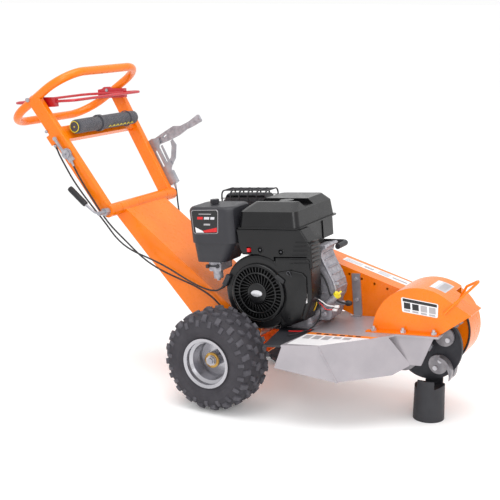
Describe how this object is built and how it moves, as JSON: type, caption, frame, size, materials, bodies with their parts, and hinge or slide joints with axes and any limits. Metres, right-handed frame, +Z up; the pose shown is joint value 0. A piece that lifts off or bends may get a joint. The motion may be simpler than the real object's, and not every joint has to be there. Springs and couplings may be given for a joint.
{
  "type": "stump grinder",
  "caption": "Walk-behind stump grinder: petrol engine over two knobbly tyres, belt-driven toothed cutting wheel under a hood, folding handle with loop grip and bail, parking stand.",
  "frame": {"origin": "centre of the bounding box at ground level", "axes": "+X forward from the handle to the cutter, +Y to the machine's left, +Z up"},
  "size_m": [2.0683, 0.822, 1.3121],
  "materials": {
    "orange_paint": "gloss powder coat",
    "grey_paint": "satin powder coat",
    "black_paint": "satin powder coat",
    "red_paint": "gloss enamel",
    "engine_plastic": "fine moulded grain",
    "cleaner_plastic": "fine moulded grain",
    "red_plastic": "gloss",
    "yellow_plastic": "satin",
    "cast_aluminium": "as cast, sandblasted",
    "zinc_steel": "zinc plated",
    "rim_paint": "silver enamel",
    "cutter_steel": "dark oxide",
    "tooth_steel": "ground",
    "cast_iron": "machined casting",
    "black_rubber": "matt",
    "tyre_rubber": "matt",
    "pad_cover": "padded woven cover"
  },
  "bodies": {
    "frame": {"console": "orange_paint", "belt_guard": "orange_paint", "guard_plate": "orange_paint", "cutter_hood": "orange_paint", "deck_plate": "grey_paint", "cutter_tunnel": "grey_paint", "side_skirt": "grey_paint", "parking_stand": "black_paint", "muffler_guard": "black_paint", "muffler": "black_paint", "blower_housing": "engine_plastic", "recoil_cover": "engine_plastic", "side_cover": "engine_plastic", "fuel_tank": "engine_plastic", "tank_cover": "engine_plastic", "air_cleaner_base": "cleaner_plastic", "air_cleaner_cover": "cleaner_plastic", "control_box": "cleaner_plastic", "crankcase": "cast_aluminium", "cylinder_head": "cast_aluminium", "carburettor": "cast_aluminium", "axle": "zinc_steel", "frame_bolts": "zinc_steel", "guard_strap": "zinc_steel", "cutter_bearings": "cast_iron", "drive_belts": "black_rubber", "opc_cable": "black_rubber", "throttle_cable": "black_rubber", "brake_cable": "black_rubber"},
    "wheel_right": {"tyre_right": "tyre_rubber", "wheel_rim_right": "rim_paint"},
    "wheel_left": {"tyre_left": "tyre_rubber", "wheel_rim_left": "rim_paint"},
    "handle": {"handle_rail_right": "orange_paint", "handle_rail_left": "orange_paint", "cross_plate": "orange_paint", "crossbar_pad": "pad_cover", "handle_loop": "orange_paint", "handle_pins": "zinc_steel", "throttle_base": "cast_aluminium", "lever_bracket": "zinc_steel"},
    "height_clamp": {"clamp_lever": "zinc_steel", "clamp_grip": "black_rubber"},
    "bail": {"bail": "red_paint"},
    "throttle": {"throttle_lever": "cast_aluminium"},
    "brake_lever": {"brake_lever": "cast_aluminium"},
    "brake_trigger": {"brake_trigger": "zinc_steel"},
    "crank": {"crankshaft": "zinc_steel", "flywheel": "cast_iron", "drive_pulley": "cast_iron"},
    "cutter": {"cutter_shaft": "zinc_steel", "cutter_disc": "cutter_steel", "cutter_teeth": "tooth_steel", "tooth_bolts": "cutter_steel", "driven_pulley": "cast_iron"},
    "fuel_cap": {"fuel_cap": "engine_plastic"},
    "cleaner_knob": {"air_cleaner_knob": "cleaner_plastic"},
    "dipstick": {"dipstick_cap": "yellow_plastic"},
    "engine_switch": {"engine_switch": "red_plastic"},
    "choke": {"choke_lever": "cleaner_plastic"}
  },
  "joints": [
    {"name": "wheel_right_spin", "type": "hinge", "parent": "frame", "child": "wheel_right", "pos_m": [0.0504, -0.314, 0.203], "axis": [0, 1, 0], "continuous": true},
    {"name": "wheel_left_spin", "type": "hinge", "parent": "frame", "child": "wheel_left", "pos_m": [0.0504, 0.314, 0.203], "axis": [0, 1, 0], "continuous": true},
    {"name": "handle_height", "type": "hinge", "parent": "frame", "child": "handle", "pos_m": [-0.51947, 0, 0.72733], "axis": [0, 1, 0], "range_deg": [-20, 25], "deforming": ["opc_cable", "throttle_cable", "brake_cable"]},
    {"name": "height_clamp_turn", "type": "hinge", "parent": "frame", "child": "height_clamp", "pos_m": [-0.51947, 0, 0.72733], "axis": [0, 1, 0], "range_deg": [-15, 70]},
    {"name": "bail_squeeze", "type": "hinge", "parent": "handle", "child": "bail", "pos_m": [-0.87302, 0, 1.17723], "axis": [0, 1, 0], "range_deg": [-18, 0], "stiffness_Nm_per_rad": 3, "springref_deg": 8.59},
    {"name": "throttle_turn", "type": "hinge", "parent": "handle", "child": "throttle", "pos_m": [-0.69753, -0.28158, 0.95997], "axis": [0.0567, -0.9951, -0.0815], "range_deg": [-10, 60]},
    {"name": "brake_lever_pull", "type": "hinge", "parent": "handle", "child": "brake_lever", "pos_m": [-0.61568, 0.27846, 0.95437], "axis": [0.0567, 0.9951, -0.0815], "range_deg": [-50, 0]},
    {"name": "brake_trigger_pull", "type": "hinge", "parent": "handle", "child": "brake_trigger", "pos_m": [-0.53624, 0.25998, 0.85763], "axis": [0.0567, 0.9951, -0.0815], "range_deg": [-8, 0], "stiffness_Nm_per_rad": 0.6, "springref_deg": 5.73},
    {"name": "crank_spin", "type": "hinge", "parent": "frame", "child": "crank", "pos_m": [0.18029, 0, 0.46231], "axis": [0, 1, 0], "continuous": true},
    {"name": "cutter_spin", "type": "hinge", "parent": "frame", "child": "cutter", "pos_m": [0.82426, 0, 0.2958], "axis": [0, 1, 0], "continuous": true},
    {"name": "fuel_cap_turn", "type": "hinge", "parent": "frame", "child": "fuel_cap", "pos_m": [0.22473, -0.058, 0.80348], "axis": [-0.0872, 0, 0.9962], "range_deg": [0, 180]},
    {"name": "cleaner_knob_turn", "type": "hinge", "parent": "frame", "child": "cleaner_knob", "pos_m": [-0.05889, -0.14, 0.7867], "axis": [-0.0872, 0, 0.9962], "range_deg": [0, 180]},
    {"name": "dipstick_turn", "type": "hinge", "parent": "frame", "child": "dipstick", "pos_m": [0.46929, -0.104, 0.4635], "axis": [0.7053, -0.0402, 0.7078], "range_deg": [0, 180]},
    {"name": "engine_switch_rock", "type": "hinge", "parent": "frame", "child": "engine_switch", "pos_m": [0.13559, -0.203, 0.62905], "axis": [0.9962, 0, 0.0872], "range_deg": [-12, 12]},
    {"name": "choke_turn", "type": "hinge", "parent": "frame", "child": "choke", "pos_m": [-0.01155, -0.2, 0.5439], "axis": [0, 1, 0], "range_deg": [-35, 0]}
  ],
  "couplings": [
    {"joint": "crank_spin", "follows": "cutter_spin", "ratio": 1.5}
  ]
}
